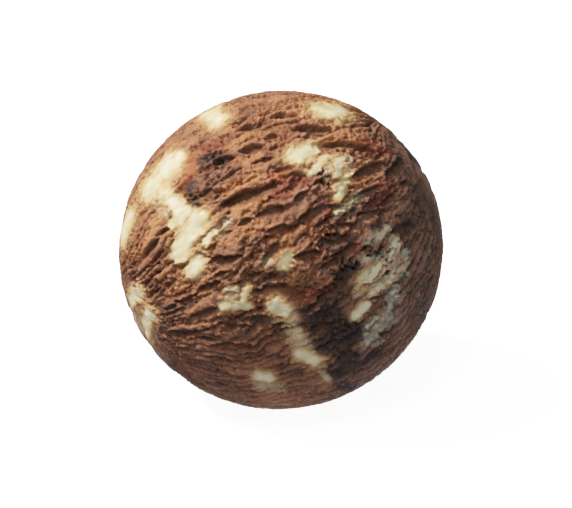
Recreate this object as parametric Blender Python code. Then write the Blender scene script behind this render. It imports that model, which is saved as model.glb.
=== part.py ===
"""A scooped ball of chocolate gelato, built as one solid.

The ball stands on a small flat spot at z = 0, its middle straight above the origin.
The shown side faces -Y and is seen from SHOWN_TILT above level.
Places on the shown side are given in mm right of the middle and above it, as they are seen.
"""
import itertools
import math

import bmesh
import bpy
import numpy as np

MM = 0.001

# Ball
LONG_RADIUS = 28.4 * MM
SHORT_RADIUS = 27.7 * MM
LONG_TURN = 22
FOOT_RADIUS = 8 * MM
MIDDLE_HEIGHT = math.sqrt(SHORT_RADIUS ** 2 - FOOT_RADIUS ** 2)
SHOWN_TILT = math.radians(22)

# Mesh
SPHERE_SUBDIVISIONS = 7
SPHERE_TRIANGLES = 20 * 4 ** (SPHERE_SUBDIVISIONS - 1)
KEPT_TRIANGLES = 11300

# Ridges left by the scoop
CURL_ENDS = ((39, -6), (202, -5))
RIDGES_ROUND = 64
RIDGE_DEPTH = 0.35 * MM
DEEP_RIDGE_DEPTH = 0.80 * MM
LUMP_HEIGHT = 0.30 * MM
SWELL_HEIGHT = 0.35 * MM
RIDGE_LEAN = -0.25
CREST_LEVEL = 0.0 * MM
CREST_SOFTNESS = 0.20 * MM

# Short torn chunks that lie over one another like shingles
CHUNKS_ROUND = 68
CHUNKS_ALONG = 17
CHUNK_STEP = 0.22 * MM
CHUNK_TILT = 0.35 * MM
CHUNK_GROOVE = 0.30 * MM
CHUNK_DROP = 0.15 * MM

# Torn furrows on the shown side: both ends as seen, half width and depth, all in mm
FURROWS = (
    ((-9.6, 8.0), (-1.2, 11.3), 1.15, 1.7),
    ((-7.0, 21.1), (-3.3, 22.0), 0.9, 1.3),
    ((-6.9, 17.0), (-3.6, 17.9), 0.8, 1.3),
    ((-4.4, 15.0), (-1.7, 15.9), 0.5, 1.0),
    ((-3.1, 19.1), (-0.8, 19.8), 0.5, 0.9),
    ((-2.0, 17.3), (-0.7, 17.9), 0.4, 0.8),
    ((-3.0, 21.9), (-1.2, 22.5), 0.4, 0.8),
    ((-4.1, 24.3), (-2.1, 24.7), 0.4, 0.8),
    ((-1.3, 23.2), (2.9, 23.3), 0.7, 1.2),
    ((3.0, 21.0), (8.4, 20.6), 1.0, 1.4),
    ((5.6, 17.8), (9.0, 18.0), 0.8, 1.0),
    ((9.4, 18.2), (15.2, 17.2), 0.8, 1.2),
    ((-10.0, 12.2), (-7.0, 14.0), 0.5, 1.0),
    ((-11.6, 14.8), (-8.6, 15.9), 0.7, 1.2),
    ((-14.2, 9.0), (-12.0, 10.6), 0.6, 1.1),
    ((-0.6, 13.6), (1.6, 14.1), 0.6, 1.0),
    ((1.8, 13.0), (3.9, 12.9), 0.5, 0.8),
    ((-3.8, 6.0), (0.0, 7.1), 0.8, 1.2),
    ((-7.0, 4.4), (-5.0, 5.4), 0.7, 1.1),
    ((-2.6, 3.0), (0.6, 4.0), 0.5, 0.9),
    ((-3.0, -1.8), (-0.9, 0.9), 0.9, 1.1),
    ((12.6, 13.0), (17.0, 14.9), 0.9, 1.2),
    ((18.0, 12.8), (20.2, 15.4), 0.9, 1.3),
    ((22.4, 10.4), (23.8, 11.8), 0.7, 0.9),
    ((20.0, 11.2), (21.4, 11.6), 0.4, 0.8),
    ((13.2, 9.6), (17.2, 11.0), 0.5, 0.9),
    ((16.4, 7.4), (18.8, 9.2), 0.5, 0.9),
    ((13.4, 6.2), (17.4, 6.9), 0.45, 1.0),
    ((9.8, 4.4), (12.2, 4.3), 0.35, 0.9),
    ((8.6, 7.6), (10.4, 7.4), 0.4, 1.0),
    ((10.4, 8.2), (11.9, 10.0), 0.35, 1.0),
    ((3.4, 5.4), (7.2, 7.4), 0.7, 1.1),
    ((2.4, 8.6), (4.6, 10.2), 0.5, 1.1),
    ((5.0, 10.8), (7.4, 12.4), 0.4, 1.0),
    ((18.0, 2.8), (21.8, 4.4), 1.2, 0.8),
    ((-25.8, 0.2), (-23.8, 3.2), 0.35, 0.8),
    ((-23.4, -0.8), (-20.8, 1.9), 0.6, 1.1),
    ((-21.2, 2.6), (-19.4, 3.6), 0.4, 0.9),
    ((-20.2, -1.2), (-18.4, 1.6), 0.35, 0.8),
    ((-18.2, -3.0), (-15.6, -2.2), 0.5, 0.9),
    ((-20.6, -7.2), (-18.0, -5.0), 0.45, 0.9),
    ((-14.0, -6.8), (-10.8, -5.4), 0.6, 1.1),
    ((-15.6, -7.9), (-14.2, -7.3), 0.35, 0.8),
    ((-17.8, -8.7), (-15.0, -8.3), 0.5, 1.0),
    ((-19.6, -9.9), (-17.8, -9.4), 0.4, 0.9),
    ((-15.4, -11.2), (-11.4, -9.8), 0.45, 0.9),
    ((-18.8, -13.8), (-12.4, -13.2), 0.6, 1.1),
    ((-11.4, -15.9), (-5.0, -16.2), 0.5, 0.9),
    ((-18.0, -16.6), (-14.6, -16.3), 0.3, 0.6),
    ((-20.6, -15.3), (-19.4, -15.0), 0.3, 0.7),
    ((-9.8, -13.6), (-7.2, -12.9), 0.35, 0.8),
    ((-6.6, -13.0), (-4.6, -12.7), 0.3, 0.7),
    ((-6.2, -12.0), (-2.4, -11.3), 0.6, 0.9),
    ((-11.6, -1.9), (-7.0, -0.9), 0.8, 1.2),
    ((-12.4, 0.2), (-10.8, 1.4), 0.3, 0.8),
    ((-10.4, 2.8), (-8.2, 3.2), 0.3, 0.7),
    ((-11.2, -4.3), (-8.6, -3.5), 0.3, 0.8),
    ((-6.2, -5.9), (-4.2, -4.2), 0.4, 0.9),
    ((-4.4, -7.1), (0.4, -6.2), 0.9, 1.2),
    ((2.4, -1.1), (6.0, -0.4), 0.8, 1.3),
    ((8.8, -0.9), (12.6, 0.8), 0.6, 1.1),
    ((7.0, -2.8), (9.6, -1.2), 0.4, 0.8),
    ((5.6, -13.2), (8.2, -12.4), 1.0, 1.4),
    ((8.0, -15.6), (14.0, -13.4), 0.5, 1.0),
    ((10.0, -21.0), (11.6, -18.6), 1.1, 1.2),
    ((9.6, -23.0), (12.8, -24.2), 0.7, 1.0),
    ((17.6, -4.2), (18.4, -3.8), 0.6, 1.1),
    ((13.8, -6.0), (17.4, -5.0), 0.35, 0.8),
    ((14.4, -8.6), (19.6, -6.4), 0.35, 0.8),
    ((14.0, -12.0), (18.2, -9.8), 0.35, 0.8),
    ((15.4, -15.8), (18.8, -13.0), 0.35, 0.7),
)
LIP_HEIGHT = 0.35 * MM
HIDDEN_FURROWS = 70

# Near the curl ends the ridges twist and turn into lumps.
END_TWIST = 0.8
END_LUMP_HEIGHT = 0.9 * MM

SEEN_RIGHT = (1.0, 0.0, 0.0)
SEEN_UP = (0.0, math.sin(SHOWN_TILT), math.cos(SHOWN_TILT))
SEEN_TOWARDS = (0.0, -math.cos(SHOWN_TILT), math.sin(SHOWN_TILT))
SEEN_AXES = np.array((SEEN_RIGHT, SEEN_UP, SEEN_TOWARDS))


def clear_scene():
    for old in list(bpy.data.objects):
        bpy.data.objects.remove(old, do_unlink=True)


def direction(turn, lean):
    """A unit direction in the seen axes, from degrees of turn and of lean towards the viewer."""
    turn = math.radians(turn)
    lean = math.radians(lean)
    return np.array((math.cos(lean) * math.cos(turn), math.cos(lean) * math.sin(turn), math.sin(lean)))


def gradient_noise(points, seed):
    """Smooth noise between about -1 and 1 with cells one unit wide."""
    rng = np.random.default_rng(seed)
    order = np.tile(rng.permutation(256), 3)
    gradients = rng.normal(size=(256, 3))
    gradients /= np.linalg.norm(gradients, axis=1)[:, None]
    cell = np.floor(points).astype(np.int64)
    local = points - cell
    fade = local ** 3 * (local * (local * 6 - 15) + 10)
    cell &= 255
    total = np.zeros(len(points))
    for corner in itertools.product((0, 1), repeat=3):
        key = order[cell[:, 0] + corner[0]] + cell[:, 1] + corner[1]
        key = order[order[key] + cell[:, 2] + corner[2]]
        weight = np.prod(np.where(np.array(corner) == 1, fade, 1 - fade), axis=1)
        total += weight * np.einsum("ij,ij->i", gradients[key], local - corner)
    return total * 1.5


def smooth_step(low, high, value):
    part = np.clip((value - low) / (high - low), 0, 1)
    return part * part * (3 - 2 * part)


def curl_line():
    """The middle of the line between the curl ends, its direction and half its length."""
    end_a = direction(*CURL_ENDS[0])
    end_b = direction(*CURL_ENDS[1])
    half = np.linalg.norm(end_a - end_b) / 2
    return (end_a + end_b) / 2, (end_a - end_b) / (2 * half), half


def flow(directions):
    """The turn about the line between the curl ends and the way along it, both in radians."""
    middle, chord, half = curl_line()
    side = np.cross(chord, (0.0, 0.0, 1.0))
    side /= np.linalg.norm(side)
    other = np.cross(chord, side)
    offset = directions - middle
    turn = np.arctan2(offset @ other, offset @ side)
    along = np.arcsin(np.clip(offset @ chord / half, -1, 1))
    return turn, along


def flow_cells(turn, along, count, run):
    """Noise places with the given number of cells round the flow and along it."""
    radius = count / (2 * math.pi)
    return np.stack((radius * np.cos(turn), radius * np.sin(turn), along / math.pi * run), axis=1)


def wave_phase(turn, along, points, count, spread, seed):
    """The phase of several wave trains that fade in and out, so that their ridges fork and end."""
    rng = np.random.default_rng(seed)
    total = np.zeros(len(turn), complex)
    shake = 0.2 * gradient_noise(points / (1.3 * MM), seed + 77)
    for train in range(5):
        waves = round(count * (1 + spread * (train - 2) / 2))
        slant = rng.uniform(-7, 7)
        start = rng.uniform(0, 2 * math.pi)
        cells = flow_cells(turn, along, 24, 7) + 17.3 * train
        strength = np.maximum(0.05, 0.5 + 1.5 * gradient_noise(cells, seed + train))
        push = 3.4 * gradient_noise(points / (6 * MM) + 5.1 * train, seed + 10 + train)
        total += strength * np.exp(1j * (waves * turn + slant * along + push + shake + start))
    return np.angle(total) / (2 * math.pi) + 0.5


def on_shown_side(place):
    """The place on the ball that is seen at these mm right of the middle and above it."""
    x = place[0] * MM
    y = place[1] * MM
    inside = min(1, 0.995 * SHORT_RADIUS / math.hypot(x, y))
    x *= inside
    y *= inside
    return np.array((x, y, math.sqrt(SHORT_RADIUS ** 2 - x * x - y * y)))


def stroke_distance(points, start, end):
    """The distance of points from a straight stroke, and the part of the stroke beside them."""
    line = end - start
    part = np.clip((points - start) @ line / (line @ line), 0, 1)
    return np.linalg.norm(points - start - part[:, None] * line, axis=1), part


def hidden_strokes(count, widths, seed):
    """Strokes along the flow on the side that isn't shown."""
    rng = np.random.default_rng(seed)
    middle, chord, _ = curl_line()
    strokes = []
    while len(strokes) < count:
        place = rng.normal(size=3)
        place /= np.linalg.norm(place)
        if place[2] > -0.02:
            continue
        normal = np.cross(chord, place - middle)
        run = np.cross(normal / np.linalg.norm(normal), place)
        run += 0.35 * rng.normal(size=3)
        half = rng.uniform(0.5, 3.0) * MM * run / np.linalg.norm(run)
        width = rng.uniform(*widths) * MM
        centre = place * SHORT_RADIUS
        strokes.append((centre - half, centre + half, width))
    return strokes


def all_furrows():
    """The furrows of the shown side and more like them, along the flow, on the other side."""
    found = []
    for start, end, width, depth in FURROWS:
        found.append((on_shown_side(start), on_shown_side(end), width * MM, depth * MM))
    for start, end, width in hidden_strokes(HIDDEN_FURROWS, (0.35, 0.9), 11):
        if np.cross(start, end - start)[1] < 0:
            start, end = end, start
        found.append((start, end, width, 1.2 * width + 0.5 * MM))
    return found


def furrows(points):
    """How deep the torn furrows are, and how near the lip above them is, from 0 to 1."""
    bend = 0.45 * MM * gradient_noise(points / (2.2 * MM), 71)
    bend += 0.22 * MM * gradient_noise(points / (0.9 * MM), 72)
    depth = np.zeros(len(points))
    lip = np.zeros(len(points))
    for start, end, half_width, deepest in all_furrows():
        distance, part = stroke_distance(points, start, end)
        above = (points - start) @ np.cross(start, end - start) > 0
        width = half_width * (0.55 + 0.45 * np.sin(np.pi * part)) * np.where(above, 0.6, 1.5)
        reach = np.maximum(distance + bend, 0) / width
        depth = np.maximum(depth, deepest * np.exp(-reach ** 3))
        near = np.exp(-((reach - 1.9) / 0.8) ** 2) * np.exp(-((distance + bend) / (2.2 * MM)) ** 4)
        lip = np.maximum(lip, above * near)
    return depth, lip


def end_share(along):
    """1 at the curl ends and 0 away from them."""
    return smooth_step(0.52, 0.14, np.cos(along))


def flow_place(directions):
    """The turn and the way along the flow, bent by noise and twisted near the curl ends."""
    points = directions * SHORT_RADIUS
    turn, along = flow(directions)
    end = end_share(along)
    turn = turn + (0.05 + 0.30 * end) * gradient_noise(points / (10 * MM), 1)
    turn = turn + (0.022 + 0.20 * end) * gradient_noise(points / (3.2 * MM), 2)
    along = along + 0.06 * gradient_noise(points / (6 * MM), 3)
    return turn + END_TWIST * end, along


def end_lumps(points):
    """Rough lumps at the curl ends, where the ridges run together."""
    lumps = np.abs(gradient_noise(points / (3.6 * MM), 91))
    lumps += 0.6 * np.abs(gradient_noise(points / (1.8 * MM), 92))
    return END_LUMP_HEIGHT * (lumps - 0.6)


def chunks(places, seed):
    """The middle of the chunk that each place is in, its own number and how far off its edge is."""
    rng = np.random.default_rng(seed)
    order = np.tile(rng.permutation(256), 2)
    numbers = rng.uniform(size=(256, 4))
    cell = np.floor(places).astype(np.int64)
    nearest = np.full(len(places), 9.0)
    second = nearest.copy()
    middle = np.zeros(places.shape)
    own = np.zeros(len(places))
    for step in itertools.product((-1, 0, 1), repeat=3):
        spot = cell + np.array(step)
        key = order[(order[(order[spot[:, 0] & 255] + spot[:, 1]) & 255] + spot[:, 2]) & 255]
        there = spot + numbers[key, :3]
        distance = np.linalg.norm(places - there, axis=1)
        closer = distance < nearest
        second = np.where(closer, nearest, np.minimum(second, distance))
        nearest = np.where(closer, distance, nearest)
        middle[closer] = there[closer]
        own[closer] = numbers[key[closer], 3]
    return middle, own, second - nearest


def chunk_height(points, turn, along):
    """Chunks whose lower edges stand out over the next ones."""
    places = flow_cells(turn, along, CHUNKS_ROUND, CHUNKS_ALONG)
    for axis in range(3):
        places[:, axis] += 0.16 * gradient_noise(points / (1.4 * MM), 131 + axis)
    middle, own, edge = chunks(places, 51)
    down = middle[:, 0] * places[:, 1] - middle[:, 1] * places[:, 0]
    down /= np.hypot(middle[:, 0], middle[:, 1])
    groove = np.minimum(edge / 0.35, 1) ** 0.5 - 1
    return CHUNK_STEP * (2 * own - 1) + CHUNK_TILT * down + CHUNK_GROOVE * groove - CHUNK_DROP


def fineness(points):
    """Where the ridges are low and fine: the lower part of the shown side and its right edge."""
    low = smooth_step(-4 * MM, -16 * MM, points[:, 1])
    right = smooth_step(15 * MM, 22 * MM, points[:, 0])
    return np.maximum(low, right)


def calmness(directions, along):
    """Lower ridges at the curl ends and at the outline of the shown side."""
    return (1 - 0.9 * end_share(along)) * (1 - 0.40 * smooth_step(0.24, 0.04, np.abs(directions[:, 2])))


def relief(directions):
    """The height of the torn surface, and how calm it is there."""
    points = directions * SHORT_RADIUS
    turn, along = flow_place(directions)
    phase = wave_phase(turn, along, points, RIDGES_ROUND, 0.32, 40)
    ridges = np.sin(np.pi * phase ** 0.8) ** 0.6
    lump = gradient_noise(flow_cells(turn, along, 62, 22), 21)
    deep = smooth_step(-0.4, 0.5, gradient_noise(flow_cells(turn, along, 24, 8), 22))
    swell = gradient_noise(flow_cells(turn, along, 30, 8), 23)
    height = (RIDGE_DEPTH + DEEP_RIDGE_DEPTH * deep) * (ridges - 1) * (0.85 + 0.5 * lump)
    height += SWELL_HEIGHT * swell + LUMP_HEIGHT * lump + chunk_height(points, turn, along)
    height *= 1 - 0.40 * fineness(points)
    depth, lip = furrows(points)
    height = height * (1 - 0.7 * np.minimum(depth / MM, 1)) + LIP_HEIGHT * lip - depth
    calm = calmness(directions, along)
    return height * calm + end_lumps(points) * end_share(along), calm


def press(height):
    """Crests pressed against the bowl of the scoop, so that they end at the round outline."""
    over = height - CREST_LEVEL
    excess = np.maximum(over, -CREST_SOFTNESS) + CREST_SOFTNESS
    pressed = -CREST_SOFTNESS * np.exp(-excess / CREST_SOFTNESS)
    return np.where(over > -CREST_SOFTNESS, pressed, over)


def ball_radius(directions):
    share = (directions @ direction(LONG_TURN, 0)) ** 2
    return 1 / np.sqrt(share / LONG_RADIUS ** 2 + (1 - share) / SHORT_RADIUS ** 2)


def across_flow(directions):
    across = np.cross(curl_line()[1], directions)
    return across / (np.linalg.norm(across, axis=1)[:, None] + 1e-9)


def torn_surface(directions):
    """Places on the torn ball, in metres about its middle, for directions in the seen axes."""
    height, calm = relief(directions)
    height = press(height)
    places = directions * (ball_radius(directions) + height)[:, None]
    slip = RIDGE_LEAN * (height - height.mean()) * calm
    return places - across_flow(directions) * slip[:, None]


def add_ball(collection):
    ball = bmesh.new()
    bmesh.ops.create_icosphere(ball, subdivisions=SPHERE_SUBDIVISIONS, radius=1)
    directions = np.array([v.co for v in ball.verts]) @ SEEN_AXES.T
    directions /= np.linalg.norm(directions, axis=1)[:, None]
    places = torn_surface(directions) @ SEEN_AXES
    places[:, 2] += MIDDLE_HEIGHT
    for vertex, place in zip(ball.verts, places):
        vertex.co = place
    mesh = bpy.data.meshes.new("gelato_scoop")
    ball.to_mesh(mesh)
    ball.free()
    scoop = bpy.data.objects.new("gelato_scoop", mesh)
    collection.objects.link(scoop)
    return scoop


def add_floor_block(collection):
    """A block below z = 0 that cuts the flat spot."""
    block = bmesh.new()
    bmesh.ops.create_cube(block, size=1)
    bmesh.ops.scale(block, vec=(3 * LONG_RADIUS, 3 * LONG_RADIUS, LONG_RADIUS), verts=block.verts)
    bmesh.ops.translate(block, vec=(0, 0, -LONG_RADIUS / 2), verts=block.verts)
    mesh = bpy.data.meshes.new("floor_block")
    block.to_mesh(mesh)
    block.free()
    cutter = bpy.data.objects.new("floor_block", mesh)
    cutter.hide_render = True
    cutter.display_type = "WIRE"
    collection.objects.link(cutter)
    return cutter


def add_modifiers(scoop, cutter):
    thin_out = scoop.modifiers.new("thin_out", "DECIMATE")
    thin_out.decimate_type = "COLLAPSE"
    thin_out.ratio = KEPT_TRIANGLES / SPHERE_TRIANGLES
    thin_out.use_collapse_triangulate = True
    flat_spot = scoop.modifiers.new("flat_spot", "BOOLEAN")
    flat_spot.operation = "DIFFERENCE"
    flat_spot.solver = "EXACT"
    flat_spot.object = cutter


def chocolate_material():
    material = bpy.data.materials.new("chocolate_gelato")
    material.use_nodes = True
    shader = material.node_tree.nodes["Principled BSDF"]
    shader.inputs["Base Color"].default_value = (0.16, 0.07, 0.04, 1)
    shader.inputs["Roughness"].default_value = 0.5
    return material


def new_collection(name):
    collection = bpy.data.collections.new(name)
    bpy.context.scene.collection.children.link(collection)
    return collection


def main():
    clear_scene()
    scoop = add_ball(new_collection("gelato scoop"))
    cutter = add_floor_block(new_collection("cutters"))
    add_modifiers(scoop, cutter)
    scoop.data.materials.append(chocolate_material())


main()
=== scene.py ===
"""A scooped ball of chocolate gelato, marbled with cream and dark cherry, on a white table.

Places on the shown side are given in mm right of the ball's middle and above it, as they are seen.
Directions and places on the ball are in the seen axes: right, up and towards the viewer.
"""
import itertools
import math

import bmesh
import bpy
import numpy as np
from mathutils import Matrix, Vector


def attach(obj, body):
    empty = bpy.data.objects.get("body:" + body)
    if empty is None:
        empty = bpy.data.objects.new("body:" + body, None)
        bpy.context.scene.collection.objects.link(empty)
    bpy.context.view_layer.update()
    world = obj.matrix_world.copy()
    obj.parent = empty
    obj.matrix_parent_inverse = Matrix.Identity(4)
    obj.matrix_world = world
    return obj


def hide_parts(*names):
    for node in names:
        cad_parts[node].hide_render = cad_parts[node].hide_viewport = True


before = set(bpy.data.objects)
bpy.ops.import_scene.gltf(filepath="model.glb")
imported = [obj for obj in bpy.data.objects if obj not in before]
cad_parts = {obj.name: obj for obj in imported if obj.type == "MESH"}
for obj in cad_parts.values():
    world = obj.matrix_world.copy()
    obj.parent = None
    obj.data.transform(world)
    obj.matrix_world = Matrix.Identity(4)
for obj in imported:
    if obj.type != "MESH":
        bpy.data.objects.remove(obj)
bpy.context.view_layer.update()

MM = 0.001

# Ball, as in the CAD model
LONG_RADIUS = 28.4 * MM
SHORT_RADIUS = 27.7 * MM
LONG_TURN = 22
FOOT_RADIUS = 8 * MM
MIDDLE_HEIGHT = math.sqrt(SHORT_RADIUS ** 2 - FOOT_RADIUS ** 2)
SHOWN_TILT = math.radians(22)
CURL_ENDS = ((39, -6), (202, -5))

SEEN_RIGHT = (1.0, 0.0, 0.0)
SEEN_UP = (0.0, math.sin(SHOWN_TILT), math.cos(SHOWN_TILT))
SEEN_TOWARDS = (0.0, -math.cos(SHOWN_TILT), math.sin(SHOWN_TILT))
SEEN_AXES = np.array((SEEN_RIGHT, SEEN_UP, SEEN_TOWARDS))

# Mesh
SPHERE_SUBDIVISIONS = 8
SPHERE_TRIANGLES = 20 * 4 ** (SPHERE_SUBDIVISIONS - 1)
KEPT_TRIANGLES = min(190000, SPHERE_TRIANGLES)
SHOWN_SIDE_PULL = 0.35

# Ridges, as in the CAD model
RIDGES_ROUND = 64
RIDGE_DEPTH = 0.35 * MM
DEEP_RIDGE_DEPTH = 0.80 * MM
LUMP_HEIGHT = 0.30 * MM
SWELL_HEIGHT = 0.35 * MM
RIDGE_LEAN = -0.25
CREST_LEVEL = 0.0 * MM
CREST_SOFTNESS = 0.20 * MM

# Short torn chunks that lie over one another like shingles, as in the CAD model
CHUNKS_ROUND = 68
CHUNKS_ALONG = 17
CHUNK_STEP = 0.22 * MM
CHUNK_TILT = 0.35 * MM
CHUNK_GROOVE = 0.30 * MM
CHUNK_DROP = 0.15 * MM

# Torn furrows on the shown side, as in the CAD model: both ends, half width and depth
FURROWS = (
    ((-9.6, 8.0), (-1.2, 11.3), 1.15, 1.7),
    ((-7.0, 21.1), (-3.3, 22.0), 0.9, 1.3),
    ((-6.9, 17.0), (-3.6, 17.9), 0.8, 1.3),
    ((-4.4, 15.0), (-1.7, 15.9), 0.5, 1.0),
    ((-3.1, 19.1), (-0.8, 19.8), 0.5, 0.9),
    ((-2.0, 17.3), (-0.7, 17.9), 0.4, 0.8),
    ((-3.0, 21.9), (-1.2, 22.5), 0.4, 0.8),
    ((-4.1, 24.3), (-2.1, 24.7), 0.4, 0.8),
    ((-1.3, 23.2), (2.9, 23.3), 0.7, 1.2),
    ((3.0, 21.0), (8.4, 20.6), 1.0, 1.4),
    ((5.6, 17.8), (9.0, 18.0), 0.8, 1.0),
    ((9.4, 18.2), (15.2, 17.2), 0.8, 1.2),
    ((-10.0, 12.2), (-7.0, 14.0), 0.5, 1.0),
    ((-11.6, 14.8), (-8.6, 15.9), 0.7, 1.2),
    ((-14.2, 9.0), (-12.0, 10.6), 0.6, 1.1),
    ((-0.6, 13.6), (1.6, 14.1), 0.6, 1.0),
    ((1.8, 13.0), (3.9, 12.9), 0.5, 0.8),
    ((-3.8, 6.0), (0.0, 7.1), 0.8, 1.2),
    ((-7.0, 4.4), (-5.0, 5.4), 0.7, 1.1),
    ((-2.6, 3.0), (0.6, 4.0), 0.5, 0.9),
    ((-3.0, -1.8), (-0.9, 0.9), 0.9, 1.1),
    ((12.6, 13.0), (17.0, 14.9), 0.9, 1.2),
    ((18.0, 12.8), (20.2, 15.4), 0.9, 1.3),
    ((22.4, 10.4), (23.8, 11.8), 0.7, 0.9),
    ((20.0, 11.2), (21.4, 11.6), 0.4, 0.8),
    ((13.2, 9.6), (17.2, 11.0), 0.5, 0.9),
    ((16.4, 7.4), (18.8, 9.2), 0.5, 0.9),
    ((13.4, 6.2), (17.4, 6.9), 0.45, 1.0),
    ((9.8, 4.4), (12.2, 4.3), 0.35, 0.9),
    ((8.6, 7.6), (10.4, 7.4), 0.4, 1.0),
    ((10.4, 8.2), (11.9, 10.0), 0.35, 1.0),
    ((3.4, 5.4), (7.2, 7.4), 0.7, 1.1),
    ((2.4, 8.6), (4.6, 10.2), 0.5, 1.1),
    ((5.0, 10.8), (7.4, 12.4), 0.4, 1.0),
    ((18.0, 2.8), (21.8, 4.4), 1.2, 0.8),
    ((-25.8, 0.2), (-23.8, 3.2), 0.35, 0.8),
    ((-23.4, -0.8), (-20.8, 1.9), 0.6, 1.1),
    ((-21.2, 2.6), (-19.4, 3.6), 0.4, 0.9),
    ((-20.2, -1.2), (-18.4, 1.6), 0.35, 0.8),
    ((-18.2, -3.0), (-15.6, -2.2), 0.5, 0.9),
    ((-20.6, -7.2), (-18.0, -5.0), 0.45, 0.9),
    ((-14.0, -6.8), (-10.8, -5.4), 0.6, 1.1),
    ((-15.6, -7.9), (-14.2, -7.3), 0.35, 0.8),
    ((-17.8, -8.7), (-15.0, -8.3), 0.5, 1.0),
    ((-19.6, -9.9), (-17.8, -9.4), 0.4, 0.9),
    ((-15.4, -11.2), (-11.4, -9.8), 0.45, 0.9),
    ((-18.8, -13.8), (-12.4, -13.2), 0.6, 1.1),
    ((-11.4, -15.9), (-5.0, -16.2), 0.5, 0.9),
    ((-18.0, -16.6), (-14.6, -16.3), 0.3, 0.6),
    ((-20.6, -15.3), (-19.4, -15.0), 0.3, 0.7),
    ((-9.8, -13.6), (-7.2, -12.9), 0.35, 0.8),
    ((-6.6, -13.0), (-4.6, -12.7), 0.3, 0.7),
    ((-6.2, -12.0), (-2.4, -11.3), 0.6, 0.9),
    ((-11.6, -1.9), (-7.0, -0.9), 0.8, 1.2),
    ((-12.4, 0.2), (-10.8, 1.4), 0.3, 0.8),
    ((-10.4, 2.8), (-8.2, 3.2), 0.3, 0.7),
    ((-11.2, -4.3), (-8.6, -3.5), 0.3, 0.8),
    ((-6.2, -5.9), (-4.2, -4.2), 0.4, 0.9),
    ((-4.4, -7.1), (0.4, -6.2), 0.9, 1.2),
    ((2.4, -1.1), (6.0, -0.4), 0.8, 1.3),
    ((8.8, -0.9), (12.6, 0.8), 0.6, 1.1),
    ((7.0, -2.8), (9.6, -1.2), 0.4, 0.8),
    ((5.6, -13.2), (8.2, -12.4), 1.0, 1.4),
    ((8.0, -15.6), (14.0, -13.4), 0.5, 1.0),
    ((10.0, -21.0), (11.6, -18.6), 1.1, 1.2),
    ((9.6, -23.0), (12.8, -24.2), 0.7, 1.0),
    ((17.6, -4.2), (18.4, -3.8), 0.6, 1.1),
    ((13.8, -6.0), (17.4, -5.0), 0.35, 0.8),
    ((14.4, -8.6), (19.6, -6.4), 0.35, 0.8),
    ((14.0, -12.0), (18.2, -9.8), 0.35, 0.8),
    ((15.4, -15.8), (18.8, -13.0), 0.35, 0.7),
)
LIP_HEIGHT = 0.35 * MM
HIDDEN_FURROWS = 70

# Near the curl ends the ridges twist and turn into lumps, as in the CAD model.
END_TWIST = 0.8
END_LUMP_HEIGHT = 0.9 * MM

# What the scene adds: melted cream, small pits and streaks pushed out of line
MELTED_HEIGHT = 0.45 * MM
PIT_DEPTH = 0.8 * MM
PUSH = 0.6 * MM
PUSH_SEED = 100

# Marbling on the shown side: both ends of each streak and its half width
STREAK_DEPTH_SHARE = 0.6
CREAM = (
    ((-10.9, 22.6), (-12.3, 23.8), 1.9),
    ((-22.4, 10.8), (-19.0, 14.6), 2.6),
    ((-18.8, 13.4), (-17.4, 15.8), 1.3),
    ((-19.8, 9.4), (-17.4, 7.2), 1.5),
    ((-18.0, 4.6), (-16.2, 6.4), 1.1),
    ((-17.0, -0.4), (-14.0, 5.2), 1.9),
    ((-17.9, -1.2), (-17.2, 1.0), 1.1),
    ((-12.8, 1.0), (-11.3, 3.4), 0.7),
    ((-14.7, -3.6), (-14.1, -2.4), 1.4),
    ((-26.8, 2.6), (-26.1, 5.4), 2.0),
    ((-25.6, -8.2), (-24.0, -7.4), 1.2),
    ((-22.9, -13.8), (-22.4, -10.8), 1.4),
    ((-9.8, -9.5), (-6.0, -9.4), 0.9),
    ((-9.2, -7.0), (-7.6, -6.9), 0.5),
    ((-6.6, -8.8), (-5.8, -7.2), 0.8),
    ((0.6, -2.6), (1.2, -1.4), 1.0),
    ((-1.2, -9.6), (0.8, -10.4), 1.3),
    ((3.4, -17.8), (6.2, -19.0), 1.3),
    ((-4.2, -21.6), (-2.2, -21.9), 1.1),
    ((7.7, 24.0), (10.0, 24.0), 2.5),
    ((2.2, 16.0), (5.0, 16.8), 1.5),
    ((5.0, 13.2), (7.8, 15.6), 0.8),
    ((9.2, 12.8), (9.8, 15.2), 0.8),
    ((9.9, 9.0), (11.3, 12.8), 0.9),
    ((13.8, -5.3), (17.0, -2.9), 1.0),
    ((18.7, -1.4), (19.3, 1.6), 0.9),
    ((18.0, -5.0), (20.0, -3.0), 0.7),
    ((12.5, -11.2), (14.6, -9.4), 0.9),
    ((15.2, -7.0), (18.8, -5.0), 0.8),
)
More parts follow.
